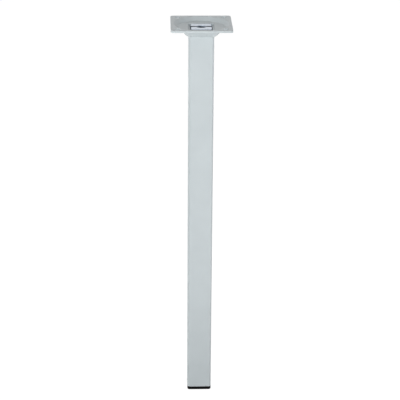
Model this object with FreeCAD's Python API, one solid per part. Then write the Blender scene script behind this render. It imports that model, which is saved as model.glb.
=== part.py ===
"""Square steel table leg: a 25 mm box tube welded under a pressed 60 mm screw-on plate.

The leg stands on z = 0 with its axis on Z, and its plate meets the table top at z = leg_height.
All sizes are millimetres.
"""

import FreeCAD
import Part

import math
import os

from FreeCAD import Vector

# Whole leg
leg_height = 400.0  # floor to the underside of the table top

# Box tube, cold-rolled steel
tube_width = 25.0
tube_wall = 1.5
tube_corner = 2.5  # outer corner radius

# Screw-on plate, pressed from sheet steel
plate_width = 60.0
plate_thickness = 2.0
plate_corner = 3.0
plate_edge_break = 0.4  # bevel left on the upper edge
screw_hole_diameter = 5.0
screw_hole_inset = 7.0  # hole centre to the plate's edge
dish_depth = 3.5
dish_margin = 2.5  # strip outside the dish at the middle of each side
dish_slope = 38.0  # degrees from the plate's plane
bend_radius = 0.8  # on the hollow side of each bend
socket_clearance = 0.1  # plate's square hole to the tube, each side
tube_set_in = 0.8  # how far the tube stands up inside that hole

# Fillet weld that joins tube and plate from below
weld_leg_out = 6.2
weld_leg_down = 5.6

# Turned bush with a threaded hole, pressed into the tube's mouth
bush_length = 18.0
bush_proud = 0.2  # above the dish's floor
bush_clearance = 0.05  # to the tube's inner walls
bush_neck_length = 5.0
bush_neck_step = 0.55  # how much the neck's radius is less than the body's
bush_edge_chamfer = 0.6
bush_lead_chamfer = 1.5
thread_core_diameter = 8.5  # tapping size of an M10 thread
thread_mouth_chamfer = 1.0
driver_slot_width = 3.6
driver_slot_depth = 3.5

# Ribbed plastic plug that closes the tube's lower end
foot_flange = 3.6
foot_edge_round = 0.8
foot_fin_count = 3
foot_fin_pitch = 5.0
foot_fin_thickness = 0.9
foot_fin_clearance = 0.05  # to the tube's inner walls
foot_spigot_gap = 1.6  # spigot's plain walls to the tube's inner walls
foot_spigot_wall = 1.6
foot_spigot_tip = 1.5  # plain end above the last fin

# Levels and widths that follow from the sizes above
plate_top = leg_height
floor_top = plate_top - dish_depth
floor_under = floor_top - plate_thickness
tube_bottom = foot_flange
tube_top = floor_under + tube_set_in
tube_bore = tube_width - 2 * tube_wall
bore_corner = tube_corner - tube_wall
dish_mouth_radius = plate_width / 2 - dish_margin
screw_hole_offset = plate_width / 2 - screw_hole_inset

UP = Vector(0, 0, 1)
CENTRE = Vector(0, 0, 0)
SHARP = 0.0  # corner radius of a plain square
SIDES = 4
QUARTER_TURN = 90.0
FULL_TURN = 360.0


def rounded_square(width, corner, level):
    """Closed outline of a square with round corners, centred on the Z axis; a corner of 0 is sharp."""
    half = width / 2
    inner = half - max(corner, 0.0)
    edges = []
    for side in range(SIDES):
        turn = FreeCAD.Rotation(UP, QUARTER_TURN * side)
        side_start = turn.multVec(Vector(-inner, -half, level))
        side_end = turn.multVec(Vector(inner, -half, level))
        edges.append(Part.makeLine(side_start, side_end))
        if corner > 0:
            reach = inner + corner * math.sqrt(0.5)
            corner_middle = turn.multVec(Vector(reach, -reach, level))
            corner_end = turn.multVec(Vector(half, -inner, level))
            edges.append(Part.Arc(side_end, corner_middle, corner_end).toShape())
    return Part.Wire(edges)


def square_bar(width, corner, low, high):
    """Upright bar of rounded-square section between two levels."""
    return Part.Face(rounded_square(width, corner, low)).extrude(Vector(0, 0, high - low))


def edges_at(shape, level):
    """Edges that lie wholly in one horizontal plane."""
    tolerance = 1e-6
    flat = []
    for edge in shape.Edges:
        box = edge.BoundBox
        if abs(box.ZMin - level) < tolerance and abs(box.ZMax - level) < tolerance:
            flat.append(edge)
    return flat


def rounded_path(points, radii):
    """Edges of an open path through the points, with a tangent arc at each bend."""
    edges = []
    start = points[0]
    for before, corner, after, radius in zip(points, points[1:], points[2:], radii):
        arrive = (corner - before).normalize()
        leave = (after - corner).normalize()
        half_turn = arrive.getAngle(leave) / 2
        reach = radius * math.tan(half_turn)
        inward = (leave - arrive).normalize()
        arc_start = corner - arrive * reach
        arc_middle = corner + inward * (radius / math.cos(half_turn) - radius)
        arc_end = corner + leave * reach
        edges.append(Part.makeLine(start, arc_start))
        edges.append(Part.Arc(arc_start, arc_middle, arc_end).toShape())
        start = arc_end
    edges.append(Part.makeLine(start, points[-1]))
    return edges


def leg_tube():
    """Box tube from the foot plug's flange up into the plate's square hole."""
    outside = square_bar(tube_width, tube_corner, tube_bottom, tube_top)
    return outside.cut(square_bar(tube_bore, bore_corner, tube_bottom, tube_top))


def dished_sheet():
    """Round sheet of even thickness with the pressed dish, larger than the plate on every side."""
    slope = math.radians(dish_slope)
    edge = plate_width
    dish_floor_radius = dish_mouth_radius - dish_depth / math.tan(slope)
    shift = plate_thickness * math.tan(slope / 2)
    outer_bend = bend_radius + plate_thickness
    upper = [
        Vector(0, 0, floor_top),
        Vector(dish_floor_radius, 0, floor_top),
        Vector(dish_mouth_radius, 0, plate_top),
        Vector(edge, 0, plate_top),
    ]
    lower = [
        Vector(edge, 0, plate_top - plate_thickness),
        Vector(dish_mouth_radius + shift, 0, plate_top - plate_thickness),
        Vector(dish_floor_radius + shift, 0, floor_under),
        Vector(0, 0, floor_under),
    ]
    rim = Part.makeLine(upper[-1], lower[0])
    axis = Part.makeLine(lower[-1], upper[0])
    profile = rounded_path(upper, [bend_radius, outer_bend]) + [rim]
    profile += rounded_path(lower, [bend_radius, outer_bend]) + [axis]
    return Part.Face(Part.Wire(profile)).revolve(CENTRE, UP, FULL_TURN)


def mounting_plate():
    """Dished sheet trimmed to the square blank, with the tube's hole and four screw holes."""
    blank = square_bar(plate_width, plate_corner, floor_under, plate_top)
    blank = blank.makeChamfer(plate_edge_break, edges_at(blank, plate_top))
    plate = blank.common(dished_sheet())
    hole_width = tube_width + 2 * socket_clearance
    holes = [square_bar(hole_width, tube_corner + socket_clearance, floor_under, floor_top)]
    for side_x in (-1, 1):
        for side_y in (-1, 1):
            foot = Vector(side_x * screw_hole_offset, side_y * screw_hole_offset, floor_under)
            depth = plate_top - floor_under
            holes.append(Part.makeCylinder(screw_hole_diameter / 2, depth, foot, UP))
    return plate.cut(holes)


def weld_bead():
    """Fillet weld: one section run along each side of the tube and turned round each corner."""
    half = tube_width / 2
    inner = half - tube_corner
    root = Vector(-inner, -half, floor_under)
    outer_toe = root - Vector(0, weld_leg_out, 0)
    lower_toe = root - Vector(0, 0, weld_leg_down)
    section = Part.Face(Part.makePolygon([root, outer_toe, lower_toe, root]))
    run = Vector(2 * inner, 0, 0)
    corner_axis = Vector(inner, -inner, 0)
    straight = section.extrude(run)
    corner = section.translated(run).revolve(corner_axis, UP, QUARTER_TURN)
    pieces = []
    for side in range(SIDES):
        for piece in (straight, corner):
            turned = piece.copy()
            turned.rotate(CENTRE, UP, QUARTER_TURN * side)
            pieces.append(turned)
    return pieces[0].fuse(pieces[1:]).removeSplitter()


def threaded_bush():
    """Turned bush with a stepped neck, a tapped hole and a slot for a driver across its top."""
    top = floor_top + bush_proud
    bottom = top - bush_length
    shoulder = top - bush_neck_length
    body_radius = tube_bore / 2 - bush_clearance
    neck_radius = body_radius - bush_neck_step
    core_radius = thread_core_diameter / 2
    turned = [
        Vector(core_radius, 0, bottom),
        Vector(body_radius - bush_lead_chamfer, 0, bottom),
        Vector(body_radius, 0, bottom + bush_lead_chamfer),
        Vector(body_radius, 0, shoulder - bush_neck_step),
        Vector(neck_radius, 0, shoulder),
        Vector(neck_radius, 0, top - bush_edge_chamfer),
        Vector(neck_radius - bush_edge_chamfer, 0, top),
        Vector(core_radius + thread_mouth_chamfer, 0, top),
        Vector(core_radius, 0, top - thread_mouth_chamfer),
    ]
    section = Part.Face(Part.makePolygon(turned + turned[:1]))
    bush = section.revolve(CENTRE, UP, FULL_TURN)
    slot_corner = Vector(-body_radius, -driver_slot_width / 2, top - driver_slot_depth)
    slot = Part.makeBox(2 * body_radius, driver_slot_width, driver_slot_depth, slot_corner)
    return bush.cut(slot)


def foot_plug():
    """Moulded plug: a flange as wide as the tube, and a hollow spigot with thin fins inside it."""
    flange = square_bar(tube_width, tube_corner, 0, foot_flange)
    flange = flange.makeFillet(foot_edge_round, edges_at(flange, 0))
    spigot_width = tube_bore - 2 * foot_spigot_gap
    spigot_top = foot_flange + foot_fin_count * foot_fin_pitch + foot_spigot_tip
    spigot = square_bar(spigot_width, SHARP, foot_flange, spigot_top)
    fin_width = tube_bore - 2 * foot_fin_clearance
    fins = []
    for fin in range(foot_fin_count):
        fin_top = foot_flange + (fin + 1) * foot_fin_pitch
        fins.append(square_bar(fin_width, bore_corner, fin_top - foot_fin_thickness, fin_top))
    pocket_width = spigot_width - 2 * foot_spigot_wall
    pocket = square_bar(pocket_width, SHARP, foot_flange, spigot_top)
    return flange.fuse([spigot] + fins).cut(pocket).removeSplitter()


os.makedirs("parts", exist_ok=True)
for make_piece in (leg_tube, mounting_plate, weld_bead, threaded_bush, foot_plug):
    make_piece().exportStep("parts/" + make_piece.__name__ + ".step")
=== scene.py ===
import math
import random

import bmesh
import bpy
from mathutils import Euler, Matrix, Vector


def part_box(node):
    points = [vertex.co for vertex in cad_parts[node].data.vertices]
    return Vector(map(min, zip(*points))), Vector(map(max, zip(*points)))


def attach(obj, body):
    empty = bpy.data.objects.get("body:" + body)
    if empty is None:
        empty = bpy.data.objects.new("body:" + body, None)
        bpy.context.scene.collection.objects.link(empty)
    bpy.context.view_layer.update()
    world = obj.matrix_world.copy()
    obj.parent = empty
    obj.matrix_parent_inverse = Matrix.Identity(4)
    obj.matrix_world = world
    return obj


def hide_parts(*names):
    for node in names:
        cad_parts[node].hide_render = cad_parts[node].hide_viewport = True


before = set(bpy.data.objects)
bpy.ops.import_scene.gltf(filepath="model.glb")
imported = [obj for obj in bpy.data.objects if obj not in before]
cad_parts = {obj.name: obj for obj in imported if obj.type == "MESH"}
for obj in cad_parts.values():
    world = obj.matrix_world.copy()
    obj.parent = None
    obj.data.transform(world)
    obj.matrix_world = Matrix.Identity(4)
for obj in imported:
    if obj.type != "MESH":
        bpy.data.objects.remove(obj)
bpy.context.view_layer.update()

mm = 0.001


# Leg tube: cold-rolled square steel tube, sawn to length, deburred and powder-coated white.
# It stands on the foot plug's flange, and its upper end is set into the plate's square hole.
nearly_straight = 0.9
sharp_angle = math.radians(45)
smooth_angle = math.radians(32)
level_slack = 0.1 * mm


def clear_selection():
    """Object mode with nothing selected, so that the next operator acts on one piece alone."""
    if bpy.context.mode != "OBJECT":
        bpy.ops.object.mode_set(mode="OBJECT")
    bpy.ops.object.select_all(action="DESELECT")


def pick(kind, wanted):
    """Edit mode: selects only the edges or faces that pass a test."""
    bpy.ops.mesh.select_mode(type=kind)
    bpy.ops.mesh.select_all(action="DESELECT")
    cage = bmesh.from_edit_mesh(bpy.context.object.data)
    for part in cage.edges if kind == "EDGE" else cage.faces:
        if wanted(part):
            part.select_set(True)
    bmesh.update_edit_mesh(bpy.context.object.data)


def faces_up(face):
    """True for a face that looks straight up."""
    return face.normal.z > nearly_straight


def is_sharp(edge):
    """True where two faces meet at more than about 45 degrees."""
    return len(edge.link_faces) == 2 and edge.calc_face_angle() > sharp_angle


def rim_at(level):
    """Test for the sharp edges that lie in one level, such as the rim of a top face."""
    def on_rim(edge):
        return is_sharp(edge) and all(abs(vert.co.z - level) < level_slack for vert in edge.verts)

    return on_rim


def only(piece):
    """Object mode with this piece alone selected and active."""
    clear_selection()
    piece.select_set(True)
    bpy.context.view_layer.objects.active = piece


def place_in_mesh(piece):
    """Leaves the new piece's object at the origin, unturned and unscaled."""
    bpy.ops.object.transform_apply(location=True, rotation=True, scale=True)
    return piece


def square_bar(name, width, low, high, corner, segments=8):
    """Upright square bar on the leg's axis with its four long edges rounded."""
    clear_selection()
    middle = (0, 0, (low + high) / 2)
    bpy.ops.mesh.primitive_cube_add(size=1, location=middle, scale=(width, width, high - low))
    bar = place_in_mesh(bpy.context.object)
    bar.name = name
    bpy.ops.object.mode_set(mode="EDIT")
    half_height = (high - low) / 2
    pick("EDGE", lambda edge: abs(edge.verts[0].co.z - edge.verts[1].co.z) > half_height)
    bpy.ops.mesh.bevel(offset=corner, segments=segments, affect="EDGES")
    bpy.ops.object.mode_set(mode="OBJECT")
    return bar


def round_sharp_edges(piece, radius, segments, wanted=is_sharp):
    """Rounds the piece's sharp edges, or those that pass another test."""
    only(piece)
    bpy.ops.object.mode_set(mode="EDIT")
    pick("EDGE", wanted)
    bpy.ops.mesh.bevel(offset=radius, segments=segments, affect="EDGES")
    bpy.ops.object.mode_set(mode="OBJECT")


def apply_modifier(piece, kind, **settings):
    """Adds a modifier with these settings and applies it."""
    only(piece)
    bpy.ops.object.modifier_add(type=kind)
    modifier = piece.modifiers[-1]
    for name, value in settings.items():
        setattr(modifier, name, value)
    bpy.ops.object.modifier_apply(modifier=modifier.name)


def finish_piece(piece, material, node):
    """Smooth shading off the sharp edges, one material, and the place in the model."""
    only(piece)
    bpy.ops.object.shade_smooth_by_angle(angle=smooth_angle)
    apply_modifier(piece, "WEIGHTED_NORMAL", mode="FACE_AREA", weight=100, keep_sharp=True)
    piece.data.materials.clear()
    piece.data.materials.append(material)
    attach(piece, "root")
    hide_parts(node)


tube_low, tube_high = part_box("leg_tube")
tube_width = tube_high[0] - tube_low[0]
tube_wall = 1.5 * mm
tube_corner = 2.5 * mm
tube_deburr = 0.25 * mm

tube = square_bar("painted_tube", tube_width, tube_low[2], tube_high[2], tube_corner,
                  segments=10)
bpy.ops.object.mode_set(mode="EDIT")
pick("FACE", lambda face: abs(face.normal.z) > nearly_straight)
bpy.ops.mesh.delete(type="ONLY_FACE")
bpy.ops.object.mode_set(mode="OBJECT")
apply_modifier(tube, "SOLIDIFY", thickness=tube_wall, offset=-1, use_even_offset=True)
round_sharp_edges(tube, tube_deburr, segments=3)


def grain_group():
    """Height of a fine surface grain and a slow mottle, both over the piece's own coordinates."""
    group = bpy.data.node_groups.new("fine_grain_and_mottle", "ShaderNodeTree")
    for name in ("Grain Scale", "Mottle Scale"):
        group.interface.new_socket(name, in_out="INPUT", socket_type="NodeSocketFloat")
    for name in ("Grain Height", "Mottle"):
        group.interface.new_socket(name, in_out="OUTPUT", socket_type="NodeSocketFloat")
    nodes = group.nodes
    links = group.links
    inputs = nodes.new("NodeGroupInput")
    outputs = nodes.new("NodeGroupOutput")
    place = nodes.new("ShaderNodeTexCoord")
    grain = nodes.new("ShaderNodeTexNoise")
    grain.inputs["Detail"].default_value = 2.0
    mottle = nodes.new("ShaderNodeTexNoise")
    mottle.inputs["Detail"].default_value = 3.0
    links.new(place.outputs["Object"], grain.inputs["Vector"])
    links.new(place.outputs["Object"], mottle.inputs["Vector"])
    links.new(inputs.outputs["Grain Scale"], grain.inputs["Scale"])
    links.new(inputs.outputs["Mottle Scale"], mottle.inputs["Scale"])
    links.new(grain.outputs["Fac"], outputs.inputs["Grain Height"])
    links.new(mottle.outputs["Fac"], outputs.inputs["Mottle"])
    return group


fine_grain = grain_group()


def new_material(name, grain_scale, mottle_scale):
    """Principled material with the shared grain group placed in it."""
    material = bpy.data.materials.new(name)
    material.use_nodes = True
    nodes = material.node_tree.nodes
    shader = nodes["Principled BSDF"]
    grain = nodes.new("ShaderNodeGroup")
    grain.node_tree = fine_grain
    grain.inputs["Grain Scale"].default_value = grain_scale
    grain.inputs["Mottle Scale"].default_value = mottle_scale
    return material, shader, grain


def mottled_colour(material, mask, shader, dark, light):
    """Base colour that drifts between two close tones."""
    nodes = material.node_tree.nodes
    links = material.node_tree.links
    ramp = nodes.new("ShaderNodeValToRGB")
    ramp.color_ramp.elements[0].position = 0.3
    ramp.color_ramp.elements[0].color = (*dark, 1)
    ramp.color_ramp.elements[1].position = 0.7
    ramp.color_ramp.elements[1].color = (*light, 1)
    links.new(mask, ramp.inputs["Fac"])
    links.new(ramp.outputs["Color"], shader.inputs["Base Color"])


def mottled_roughness(material, mask, shader, low, high):
    """Roughness that drifts between two values."""
    nodes = material.node_tree.nodes
    links = material.node_tree.links
    span = nodes.new("ShaderNodeMapRange")
    span.inputs["To Min"].default_value = low
    span.inputs["To Max"].default_value = high
    links.new(mask, span.inputs["Value"])
    links.new(span.outputs["Result"], shader.inputs["Roughness"])


def bumped(material, height, shader, depth, strength):
    """Bump from a height mask; depth is the real relief in metres."""
    nodes = material.node_tree.nodes
    links = material.node_tree.links
    bump = nodes.new("ShaderNodeBump")
    bump.inputs["Distance"].default_value = depth
    bump.inputs["Strength"].default_value = strength
    links.new(height, bump.inputs["Height"])
    links.new(bump.outputs["Normal"], shader.inputs["Normal"])


white_paint, paint_shader, paint_grain = new_material(
    "white_powder_coat", grain_scale=900, mottle_scale=45)
mottled_colour(white_paint, paint_grain.outputs["Mottle"], paint_shader,
               dark=(0.590, 0.648, 0.668), light=(0.622, 0.682, 0.702))
mottled_roughness(white_paint, paint_grain.outputs["Mottle"], paint_shader, low=0.28, high=0.40)
bumped(white_paint, paint_grain.outputs["Grain Height"], paint_shader,
       depth=0.03 * mm, strength=0.6)
finish_piece(tube, white_paint, "leg_tube")


# Mounting plate: one square of 2 mm sheet steel, pressed into a shallow round dish and pierced.
# Its flat corners take four wood screws, and the tube stands in the square hole in its middle.
plate_low, plate_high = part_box("mounting_plate")
plate_width = plate_high[0] - plate_low[0]
plate_thickness = 2.0 * mm
plate_corner = 3.0 * mm
dish_depth = plate_high[2] - plate_low[2] - plate_thickness
dish_slope = math.radians(38)
dish_margin = 2.5 * mm
dish_mouth_radius = plate_width / 2 - dish_margin
dish_floor_radius = dish_mouth_radius - dish_depth / math.tan(dish_slope)
inner_bend = 0.8 * mm
outer_bend = inner_bend + plate_thickness
screw_hole_inset = 7.0 * mm
screw_hole_offset = plate_width / 2 - screw_hole_inset
screw_hole_radius = 2.5 * mm
socket_clearance = 0.1 * mm
plate_edge_round = 0.4 * mm
socket_edge_break = 0.3 * mm
screw_hole_edge_break = 0.6 * mm
spare = 10 * mm  # how far a cutting tool reaches past the piece
dish_steps = 160
hole_steps = 64
floor_top = plate_high[2] - dish_depth
floor_under = plate_low[2]


def combine(piece, tool, operation):
    """Cuts the piece with a tool, joins them or keeps what both hold, and deletes the tool."""
    apply_modifier(piece, "BOOLEAN", object=tool, operation=operation, solver="EXACT")
    bpy.data.objects.remove(tool)


def widen_ring(radius_from, radius_to, rise):
    """Edit mode: draws the selected ring of edges outwards and up into a new band of faces."""
    bpy.ops.mesh.extrude_region_move()
    growth = radius_to / radius_from
    bpy.ops.transform.resize(value=(growth, growth, 1))
    bpy.ops.transform.translate(value=(0, 0, rise))


def flare_top(tool, half_width, edge_break):
    """Widens a cutting tool at its top, so that the hole it cuts has a broken upper edge."""
    only(tool)
    bpy.ops.object.mode_set(mode="EDIT")
    pick("FACE", faces_up)
    reach = 1.5 * edge_break  # past the surface, so that the flare is cut through it
    growth = (half_width + reach) / half_width
    bpy.ops.mesh.extrude_region_move(TRANSFORM_OT_translate={"value": (0, 0, reach)})
    bpy.ops.transform.resize(value=(growth, growth, 1))
    bpy.ops.mesh.extrude_region_move(TRANSFORM_OT_translate={"value": (0, 0, spare)})
    bpy.ops.object.mode_set(mode="OBJECT")


def ring_test(radius):
    """Test for the edges of a ring round the leg's axis."""
    slack = 0.2 * mm

    def on_ring(edge):
        return all(abs(Vector(vert.co.xy).length - radius) < slack for vert in edge.verts)

    return on_ring


clear_selection()
bpy.ops.mesh.primitive_circle_add(
    vertices=dish_steps, radius=dish_floor_radius, fill_type="NGON", location=(0, 0, floor_top))
plate = place_in_mesh(bpy.context.object)
plate.name = "pressed_plate"
bpy.ops.object.mode_set(mode="EDIT")
pick("EDGE", ring_test(dish_floor_radius))
widen_ring(dish_floor_radius, dish_mouth_radius, dish_depth)
widen_ring(dish_mouth_radius, plate_width, 0)
pick("EDGE", ring_test(dish_floor_radius))
bpy.ops.mesh.bevel(offset=inner_bend * math.tan(dish_slope / 2), segments=6, affect="EDGES")
pick("EDGE", ring_test(dish_mouth_radius))
bpy.ops.mesh.bevel(offset=outer_bend * math.tan(dish_slope / 2), segments=8, affect="EDGES")
bpy.ops.mesh.select_all(action="SELECT")
bpy.ops.mesh.normals_make_consistent(inside=False)
bpy.ops.object.mode_set(mode="OBJECT")
apply_modifier(plate, "SOLIDIFY", thickness=plate_thickness, offset=-1, use_even_offset=True)
blank = square_bar("blank", plate_width, floor_under - spare, plate_high[2], plate_corner)
round_sharp_edges(blank, plate_edge_round, segments=3, wanted=rim_at(plate_high[2]))
combine(plate, blank, "INTERSECT")
hole_width = tube_width + 2 * socket_clearance
socket = square_bar("socket", hole_width, floor_under - spare, floor_top - socket_edge_break,
                    tube_corner + socket_clearance)
flare_top(socket, hole_width / 2, socket_edge_break)
combine(plate, socket, "DIFFERENCE")
drill_middle = plate_high[2] - screw_hole_edge_break - spare / 2
for side_x in (-1, 1):
    for side_y in (-1, 1):
        clear_selection()
        bpy.ops.mesh.primitive_cylinder_add(
            vertices=hole_steps, radius=screw_hole_radius, depth=spare,
            location=(side_x * screw_hole_offset, side_y * screw_hole_offset, drill_middle))
        drill = place_in_mesh(bpy.context.object)
        flare_top(drill, screw_hole_radius, screw_hole_edge_break)
        combine(plate, drill, "DIFFERENCE")
finish_piece(plate, white_paint, "mounting_plate")


# Weld bead: the fillet weld that a welder runs round the tube under the plate, then paints over.
# It is laid pool by pool, so its face is rounded and has close ripples.
weld_low, weld_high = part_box("weld_bead")
weld_toe_share = 0.92  # of the solid's legs, which the ripples then fill
weld_leg_out = weld_toe_share * (weld_high[0] - tube_high[0])
weld_leg_down = weld_toe_share * (weld_high[2] - weld_low[2])
weld_fullness = 1.25  # 1 is a flat face and more is rounded outwards
section_points = 10
ripple_steps = 4
ripple_length = 1.5 * mm
ripple_height = 0.06
ripple_unevenness = 0.035
corner_ripples = 3
sides = 4
quarter_turn = math.pi / 2
merge_distance = 0.01 * mm

clear_selection()
bpy.ops.mesh.primitive_circle_add(
    vertices=section_points, radius=weld_leg_out, fill_type="NOTHING")
bead = bpy.context.object
bead.name = "rippled_weld"
tube_half = tube_width / 2
straight = tube_width - 2 * tube_corner
root = Vector((-straight / 2, -tube_half, weld_high[2]))
bead.data.vertices[0].co = root
for index in range(1, section_points):
    share = (index - 1) / (section_points - 2)
    bend = share * (1 - share) * weld_fullness
    out = weld_leg_out * ((1 - share) ** 2 + bend)
    down = weld_leg_down * (share ** 2 + bend)
    bead.data.vertices[index].co = root + Vector((0, -out, -down))

side_steps = ripple_steps * round(straight / ripple_length)
corner_steps = ripple_steps * corner_ripples
ripples = sides * (side_steps + corner_steps) // ripple_steps
hand = random.Random(4)
pool_swell = [1 + hand.uniform(-ripple_unevenness, ripple_unevenness) for _ in range(ripples)]
swells = []
for pool in range(ripples):
    for step in range(ripple_steps):
        blend = step / ripple_steps
        base = pool_swell[pool] * (1 - blend) + pool_swell[(pool + 1) % ripples] * blend
        swells.append(base * (1 + ripple_height * math.sin(math.pi * blend)))

bpy.ops.object.mode_set(mode="EDIT")
pick("EDGE", lambda edge: True)
bpy.ops.transform.resize(value=(swells[0],) * 3, center_override=root)
done = 0
for side in range(sides):
    turn = Matrix.Rotation(side * quarter_turn, 3, "Z")
    corner_axis = turn @ Vector((straight / 2, -straight / 2, weld_high[2]))
    for step in range(side_steps + corner_steps):
        bpy.ops.mesh.extrude_region_move()
        if step < side_steps:
            advance = turn @ Vector((straight / side_steps, 0, 0))
            bpy.ops.transform.translate(value=advance)
            root = root + advance
        else:
            turn_step = quarter_turn / corner_steps
            bpy.ops.transform.rotate(
                value=-turn_step, orient_axis="Z", center_override=corner_axis)
            root = corner_axis + Matrix.Rotation(turn_step, 3, "Z") @ (root - corner_axis)
        change = swells[(done + 1) % len(swells)] / swells[done]
        bpy.ops.transform.resize(value=(change,) * 3, center_override=root)
        done += 1
bpy.ops.mesh.select_all(action="SELECT")
bpy.ops.mesh.remove_doubles(threshold=merge_distance)
bpy.ops.mesh.normals_make_consistent(inside=False)
bpy.ops.object.mode_set(mode="OBJECT")
finish_piece(bead, white_paint, "weld_bead")


# Threaded bush: cut from square steel bar, turned round below its head, tapped M10, slotted for
# a driver and zinc-plated. The round body is pressed into the tube's mouth, and the square head
# stands level with the dish's floor.
bush_low, bush_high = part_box("threaded_bush")
bush_radius = bush_high[0]
bush_neck_step = 0.55 * mm  # how much the head's half width is less than the body's radius
bush_neck_radius = 9.5 * mm
bush_head_corner = 1.5 * mm
bush_head_height = 5.0 * mm
bush_shoulder = bush_high[2] - bush_head_height
bush_top_chamfer = 0.6 * mm
bush_lead_chamfer = 1.5 * mm
thread_core_radius = 4.25 * mm
thread_root_radius = 5.0 * mm
thread_pitch = 1.5 * mm
thread_mouth = 1.0 * mm
thread_steps = 64
thread_spare_turns = 2  # so that the groove runs out past both ends
groove_half_width = 0.48 * thread_pitch
groove_inner_radius = thread_core_radius - 0.3 * mm
slot_width = 3.6 * mm
slot_depth = 3.5 * mm
round_steps = 128

clear_selection()
body_height = bush_shoulder - bush_neck_step - bush_low[2]
bpy.ops.mesh.primitive_cylinder_add(
    vertices=round_steps, radius=bush_radius, depth=body_height,
    location=(0, 0, bush_low[2] + body_height / 2))
bush = place_in_mesh(bpy.context.object)
bush.name = "plated_bush"
bpy.ops.object.mode_set(mode="EDIT")
pick("FACE", faces_up)
bpy.ops.mesh.extrude_region_move(TRANSFORM_OT_translate={"value": (0, 0, bush_neck_step)})
neck_scale = bush_neck_radius / bush_radius
bpy.ops.transform.resize(value=(neck_scale, neck_scale, 1))
bpy.ops.mesh.extrude_region_move(TRANSFORM_OT_translate={"value": (0, 0, bush_head_height / 2)})
pick("EDGE", rim_at(bush_low[2]))
bpy.ops.mesh.bevel(offset=bush_lead_chamfer, segments=1, affect="EDGES")
bpy.ops.object.mode_set(mode="OBJECT")
head_width = 2 * (bush_radius - bush_neck_step)
head = square_bar("head", head_width, bush_shoulder, bush_high[2], bush_head_corner)
round_sharp_edges(head, bush_top_chamfer, segments=1, wanted=rim_at(bush_high[2]))
combine(bush, head, "UNION")

clear_selection()
bpy.ops.mesh.primitive_cylinder_add(
    vertices=round_steps, radius=thread_core_radius, depth=bush_high[2] - bush_low[2] + spare,
    location=(0, 0, (bush_high[2] + bush_low[2]) / 2))
bore = place_in_mesh(bpy.context.object)
combine(bush, bore, "DIFFERENCE")
at_top = rim_at(bush_high[2])
round_bore = ring_test(thread_core_radius)
round_sharp_edges(bush, thread_mouth, segments=1,
                  wanted=lambda edge: at_top(edge) and round_bore(edge))

thread_turns = math.ceil((bush_high[2] - bush_low[2]) / thread_pitch) + thread_spare_turns
clear_selection()
groove_points = (
    (groove_inner_radius, -groove_half_width),
    (thread_root_radius, 0),
    (groove_inner_radius, groove_half_width),
)
bpy.ops.mesh.primitive_circle_add(
    vertices=len(groove_points), radius=thread_pitch / 2, fill_type="NOTHING",
    rotation=(math.pi / 2, 0, 0))
cutter = place_in_mesh(bpy.context.object)
for vert, (radius, height) in zip(cutter.data.vertices, groove_points):
    vert.co = (radius, 0, bush_low[2] - thread_pitch + height)
apply_modifier(cutter, "SCREW", axis="Z", angle=2 * math.pi, screw_offset=thread_pitch,
               iterations=thread_turns, steps=thread_steps, render_steps=thread_steps,
               use_merge_vertices=False)
bpy.ops.object.mode_set(mode="EDIT")
bpy.ops.mesh.select_all(action="SELECT")
bpy.ops.mesh.fill_holes(sides=len(groove_points))
bpy.ops.mesh.select_all(action="SELECT")
bpy.ops.mesh.normals_make_consistent(inside=False)
bpy.ops.object.mode_set(mode="OBJECT")
combine(bush, cutter, "DIFFERENCE")

clear_selection()
bpy.ops.mesh.primitive_cube_add(size=1, location=(0, 0, bush_high[2]),
                                scale=(4 * bush_radius, slot_width, 2 * slot_depth))
slot_cutter = place_in_mesh(bpy.context.object)
combine(bush, slot_cutter, "DIFFERENCE")

zinc, zinc_shader, zinc_grain = new_material("zinc_plate", grain_scale=2600, mottle_scale=260)
zinc_shader.inputs["Metallic"].default_value = 1.0
mottled_colour(zinc, zinc_grain.outputs["Mottle"], zinc_shader,
               dark=(0.48, 0.53, 0.60), light=(0.58, 0.63, 0.70))
zinc_colour = zinc_shader.inputs["Base Color"].links[0].from_socket
mottled_roughness(zinc, zinc_grain.outputs["Mottle"], zinc_shader, low=0.22, high=0.36)
zinc_nodes = zinc.node_tree.nodes
zinc_links = zinc.node_tree.links
zinc_place = zinc_nodes.new("ShaderNodeTexCoord")
turning_marks = zinc_nodes.new("ShaderNodeTexWave")
turning_marks.wave_type = "RINGS"
turning_marks.rings_direction = "Z"
turning_marks.inputs["Scale"].default_value = 900
turning_marks.inputs["Distortion"].default_value = 0.6
zinc_links.new(zinc_place.outputs["Object"], turning_marks.inputs["Vector"])
bumped(zinc, turning_marks.outputs["Fac"], zinc_shader, depth=0.01 * mm, strength=0.5)
zinc_height = zinc_nodes.new("ShaderNodeSeparateXYZ")
zinc_links.new(zinc_place.outputs["Object"], zinc_height.inputs["Vector"])
# Painted shade: the zinc colour turns dark from the head's top face down past its top chamfer, so
# that the slot, the bore and the head's sides show dark as if in shade.
painted_shade_full_depth = 0.9 * bush_top_chamfer
painted_shade_mask = zinc_nodes.new("ShaderNodeMapRange")
painted_shade_mask.inputs["From Min"].default_value = bush_high[2]
painted_shade_mask.inputs["From Max"].default_value = bush_high[2] - painted_shade_full_depth
zinc_links.new(zinc_height.outputs["Z"], painted_shade_mask.inputs["Value"])
painted_shade_mix = zinc_nodes.new("ShaderNodeMix")
painted_shade_mix.data_type = "RGBA"
painted_shade_mix.inputs["B"].default_value = (0.27, 0.31, 0.365, 1)
zinc_links.new(painted_shade_mask.outputs["Result"], painted_shade_mix.inputs["Factor"])
zinc_links.new(zinc_colour, painted_shade_mix.inputs["A"])
zinc_links.new(painted_shade_mix.outputs["Result"], zinc_shader.inputs["Base Color"])
finish_piece(bush, zinc, "threaded_bush")


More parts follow.
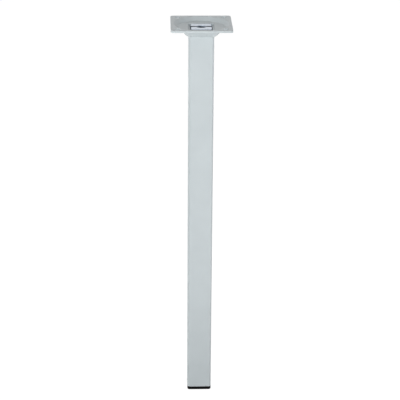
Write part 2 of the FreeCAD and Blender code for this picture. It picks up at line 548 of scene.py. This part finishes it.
# Foot plug: moulded in black polyethylene and pushed into the tube's lower end.
# Its flange is as wide as the tube, and thin fins on its hollow spigot grip the inner walls.
foot_low, foot_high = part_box("foot_plug")
flange_top = tube_low[2]
foot_edge_round = 0.8 * mm
tube_bore = tube_width - 2 * tube_wall
spigot_gap = 1.6 * mm
spigot_width = tube_bore - 2 * spigot_gap
spigot_wall = 1.6 * mm
spigot_corner = 0.8 * mm
spigot_overlap = 0.5 * mm  # into the flange, so that the two join
pocket_corner = 0.5 * mm
fin_clearance = 0.05 * mm
fin_width = tube_bore - 2 * fin_clearance
fin_corner = 1.0 * mm
fin_thickness = 0.9 * mm
fin_pitch = 5.0 * mm
fin_count = 3

plug = square_bar("black_plug", tube_width, foot_low[2], flange_top, tube_corner)
round_sharp_edges(plug, foot_edge_round, segments=6, wanted=rim_at(foot_low[2]))
spigot = square_bar("spigot", spigot_width, flange_top - spigot_overlap, foot_high[2],
                    spigot_corner)
combine(plug, spigot, "UNION")
for fin in range(fin_count):
    fin_top = flange_top + (fin + 1) * fin_pitch
    lamella = square_bar("lamella", fin_width, fin_top - fin_thickness, fin_top, fin_corner)
    combine(plug, lamella, "UNION")
pocket_width = spigot_width - 2 * spigot_wall
pocket = square_bar("pocket", pocket_width, flange_top, foot_high[2] + spare, pocket_corner)
combine(plug, pocket, "DIFFERENCE")

black_plastic, plastic_shader, plastic_grain = new_material(
    "black_polyethylene", grain_scale=2200, mottle_scale=120)
mottled_colour(black_plastic, plastic_grain.outputs["Mottle"], plastic_shader,
               dark=(0.0025, 0.0025, 0.0025), light=(0.0045, 0.0045, 0.0045))
mottled_roughness(black_plastic, plastic_grain.outputs["Mottle"], plastic_shader,
                  low=0.42, high=0.58)
plastic_shader.inputs["Specular IOR Level"].default_value = 0.06
bumped(black_plastic, plastic_grain.outputs["Grain Height"], plastic_shader,
       depth=0.04 * mm, strength=0.5)
finish_piece(plug, black_plastic, "foot_plug")


# Studio: a pale floor, a soft key light in front, weaker lights above, behind and from a card
# on the floor, and an even white surround. The floor shows white and still takes the leg's shadow.
def seen_directly(tree):
    """Value of 1 for camera, glossy and transmission rays, 0 for the rays that light the leg."""
    path = tree.nodes.new("ShaderNodeLightPath")
    first = tree.nodes.new("ShaderNodeMath")
    first.operation = "MAXIMUM"
    second = tree.nodes.new("ShaderNodeMath")
    second.operation = "MAXIMUM"
    tree.links.new(path.outputs["Is Camera Ray"], first.inputs[0])
    tree.links.new(path.outputs["Is Glossy Ray"], first.inputs[1])
    tree.links.new(first.outputs["Value"], second.inputs[0])
    tree.links.new(path.outputs["Is Transmission Ray"], second.inputs[1])
    return second.outputs["Value"]


floor_width = 12
floor_glow_strength = 1.2
floor_glow_share = 0.8
surround_light = 0.28
surround_shown = 1.0

clear_selection()
bpy.ops.mesh.primitive_plane_add(size=floor_width, location=(0, 0, foot_low[2]))
floor = bpy.context.object
floor.name = "studio_floor"
floor_paint = bpy.data.materials.new("pale_floor")
floor_paint.use_nodes = True
floor_tree = floor_paint.node_tree
floor_tree.nodes.clear()
floor_matt = floor_tree.nodes.new("ShaderNodeBsdfDiffuse")
floor_matt.inputs["Color"].default_value = (0.9, 0.9, 0.9, 1)
floor_glow = floor_tree.nodes.new("ShaderNodeEmission")
floor_glow.inputs["Strength"].default_value = floor_glow_strength
floor_share = floor_tree.nodes.new("ShaderNodeMath")
floor_share.operation = "MULTIPLY"
floor_share.inputs[1].default_value = floor_glow_share
floor_mix = floor_tree.nodes.new("ShaderNodeMixShader")
floor_out = floor_tree.nodes.new("ShaderNodeOutputMaterial")
floor_tree.links.new(seen_directly(floor_tree), floor_share.inputs[0])
floor_tree.links.new(floor_share.outputs["Value"], floor_mix.inputs["Fac"])
floor_tree.links.new(floor_matt.outputs["BSDF"], floor_mix.inputs[1])
floor_tree.links.new(floor_glow.outputs["Emission"], floor_mix.inputs[2])
floor_tree.links.new(floor_mix.outputs["Shader"], floor_out.inputs["Surface"])
floor.data.materials.append(floor_paint)

world = bpy.data.worlds.new("white_surround")
bpy.context.scene.world = world
world.use_nodes = True
world_tree = world.node_tree
surround = world_tree.nodes["Background"]
surround.inputs["Color"].default_value = (1, 1, 1, 1)
surround_level = world_tree.nodes.new("ShaderNodeMapRange")
surround_level.inputs["To Min"].default_value = surround_light
surround_level.inputs["To Max"].default_value = surround_shown
world_tree.links.new(seen_directly(world_tree), surround_level.inputs["Value"])
world_tree.links.new(surround_level.outputs["Result"], surround.inputs["Strength"])


def soft_box(name, place, target, size, power):
    """Square area light aimed at a point."""
    clear_selection()
    aim = (Vector(target) - Vector(place)).to_track_quat("-Z", "Y").to_euler()
    bpy.ops.object.light_add(type="AREA", location=place, rotation=aim)
    lamp = bpy.context.object
    lamp.name = name
    lamp.data.size = size
    lamp.data.energy = power


soft_box("key_light", (-0.18, -0.80, 0.55), (0, 0, 0.3), size=0.3, power=3.45)
soft_box("top_light", (-0.35, -0.30, 1.35), (0, 0, 0.3), size=0.8, power=1.0)
soft_box("floor_card", (0.30, -0.45, 0.01), (0.30, -0.45, 1), size=0.5, power=1.1)
soft_box("rear_right_light", (0.65, 0.60, 0.28), (0, 0, 0.2), size=0.5, power=1.8)
soft_box("rear_left_light", (-0.65, 0.60, 0.28), (0, 0, 0.2), size=0.5, power=1.8)


# Camera: the photograph's own view, from about 1.4 m away and 0.3 m above the plate,
# aimed at the middle of the leg.
camera_place = (-0.03985, -1.27986, 0.73144)
camera_pitch = math.radians(68.0159)
camera_yaw = math.radians(-1.7838)
camera_roll = math.radians(0.4083)
camera_lens = 121.3866
camera_sensor = 36

clear_selection()
bpy.ops.object.camera_add(location=camera_place)
camera = bpy.context.object
aim = Euler((camera_pitch, 0, camera_yaw)).to_matrix() @ Matrix.Rotation(camera_roll, 3, "Z")
camera.rotation_euler = aim.to_euler()
camera.data.sensor_width = camera_sensor
camera.data.lens = camera_lens
bpy.context.scene.camera = camera
bpy.context.scene.view_settings.view_transform = "Standard"
